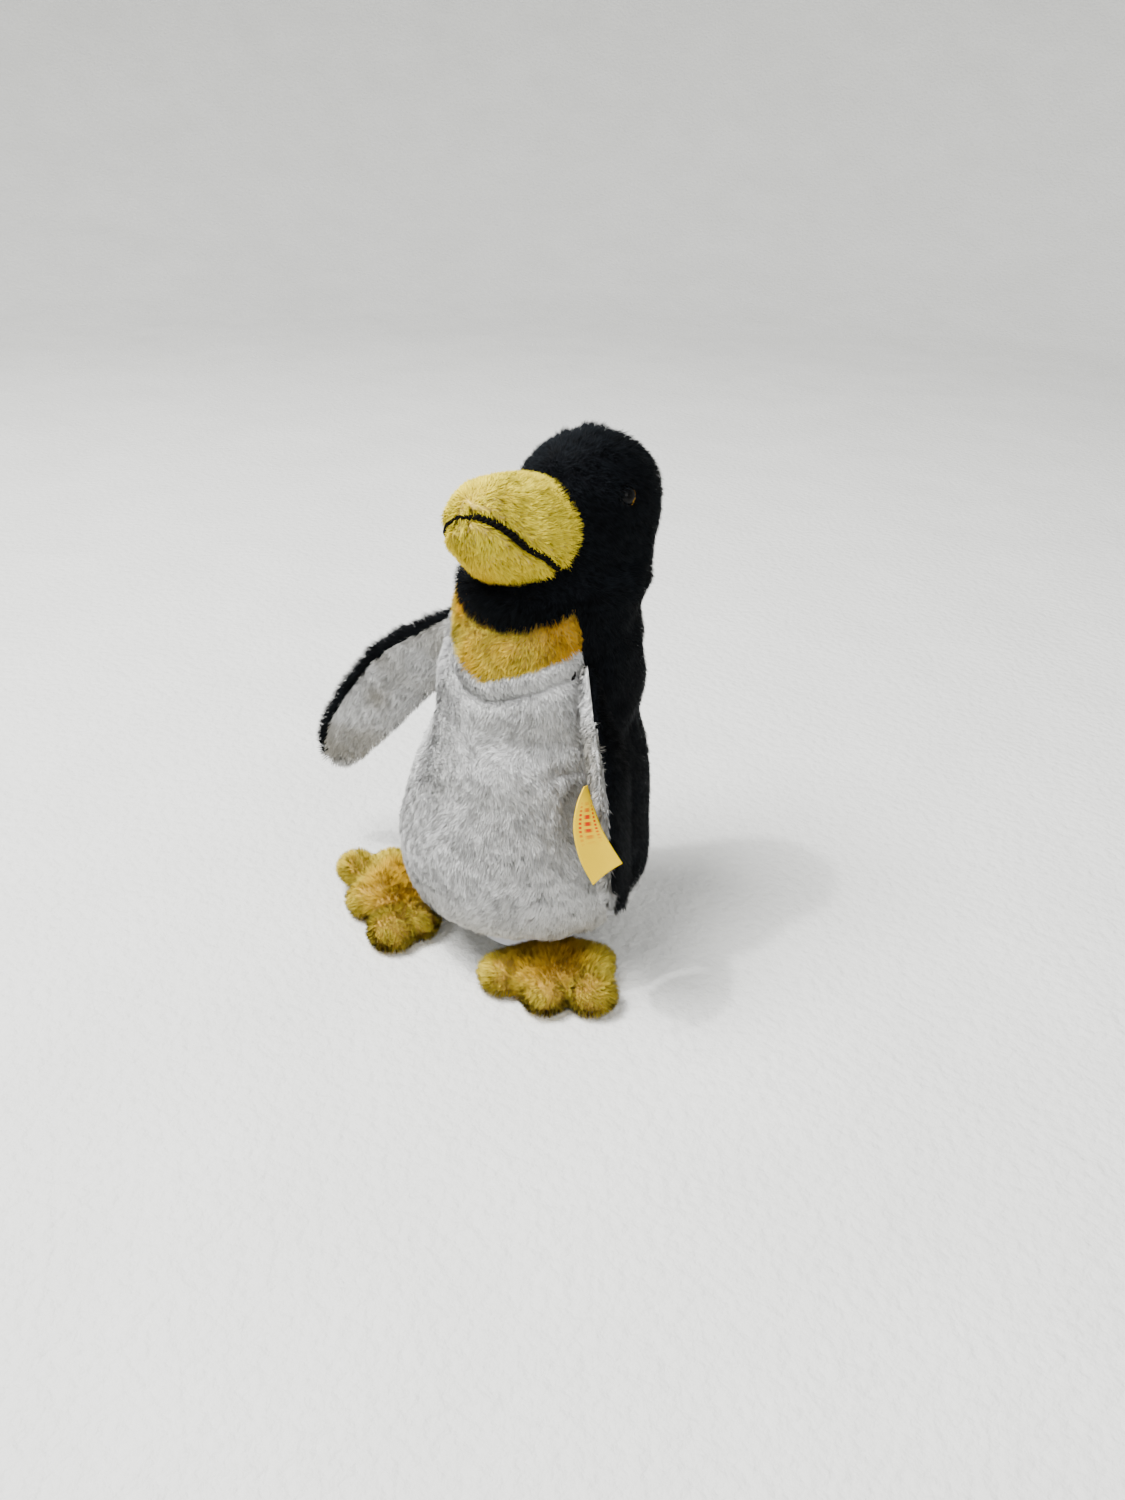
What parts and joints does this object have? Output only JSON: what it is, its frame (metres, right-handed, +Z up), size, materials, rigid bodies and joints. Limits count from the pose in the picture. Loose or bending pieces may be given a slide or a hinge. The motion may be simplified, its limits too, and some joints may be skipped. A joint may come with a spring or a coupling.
{
  "type": "plush penguin",
  "caption": "Standing plush penguin with a sewn beak, bead eyes, a turning head, two flippers on the side seams, three-toed feet and a ribbon tag.",
  "frame": {"origin": "centre of the seat, on the surface it stands on", "axes": "+Z up, -Y towards the front (the way it faces), +X towards the penguin's left"},
  "size_m": [0.1464, 0.1027, 0.1736],
  "materials": {
    "black_pile": "short plush pile",
    "white_pile": "short plush pile, brushed in swirls",
    "yellow_pile": "short plush pile",
    "golden_pile": "short plush pile",
    "fibre_stuffing": "loose polyester fibre",
    "bag_cloth": "thin woven cloth",
    "pellets": "smooth",
    "thread": "thick thread",
    "eye_plastic": "polished",
    "washer_plastic": "moulded",
    "ribbon": "satin ribbon"
  },
  "bodies": {
    "torso": {"belly_panel": "white_pile", "throat_patch": "golden_pile", "back_panel_left": "black_pile", "back_panel_right": "black_pile", "base_panel": "white_pile", "body_stuffing": "fibre_stuffing", "pellet_bag": "bag_cloth", "pellets": "pellets"},
    "head": {"chin_band": "black_pile", "head_panel_left": "black_pile", "head_panel_right": "black_pile", "head_stuffing": "fibre_stuffing", "beak_upper": "yellow_pile", "beak_lower": "yellow_pile", "beak_stuffing": "fibre_stuffing", "mouth_thread": "thread", "eye_left": "eye_plastic", "eye_right": "eye_plastic", "eye_washer_left": "washer_plastic", "eye_washer_right": "washer_plastic"},
    "flipper_left": {"flipper_left_outer": "black_pile", "flipper_left_inner": "white_pile", "flipper_left_stuffing": "fibre_stuffing"},
    "tag": {"ribbon_tag": "ribbon"},
    "flipper_right": {"flipper_right_outer": "black_pile", "flipper_right_inner": "white_pile", "flipper_right_stuffing": "fibre_stuffing"},
    "foot_left": {"foot_left_top": "golden_pile", "foot_left_sole": "golden_pile", "foot_left_stuffing": "fibre_stuffing"},
    "foot_right": {"foot_right_top": "golden_pile", "foot_right_sole": "golden_pile", "foot_right_stuffing": "fibre_stuffing"}
  },
  "joints": [
    {"name": "head_turn", "type": "hinge", "parent": "torso", "child": "head", "pos_m": [0, 0.006, 0.124], "axis": [0, 0, 1], "range_deg": [-25, 25]},
    {"name": "flipper_left_lift", "type": "hinge", "parent": "torso", "child": "flipper_left", "pos_m": [0.044, -0.008, 0.105], "axis": [0, -1, 0], "range_deg": [0, 80]},
    {"name": "flipper_right_lift", "type": "hinge", "parent": "torso", "child": "flipper_right", "pos_m": [-0.0461, -0.003, 0.098], "axis": [0, 1, 0], "range_deg": [-8, 50]},
    {"name": "tag_flap", "type": "hinge", "parent": "flipper_left", "child": "tag", "pos_m": [0.04821, -0.02485, 0.08134], "axis": [0.8844, 0.454, 0.1086], "range_deg": [-50, 3]},
    {"name": "foot_left_turn", "type": "hinge", "parent": "torso", "child": "foot_left", "pos_m": [0.027, -0.0135, 0.006], "axis": [0, 0, 1], "range_deg": [-15, 15]},
    {"name": "foot_right_turn", "type": "hinge", "parent": "torso", "child": "foot_right", "pos_m": [-0.0305, -0.025, 0.006], "axis": [0, 0, 1], "range_deg": [-15, 15]}
  ]
}
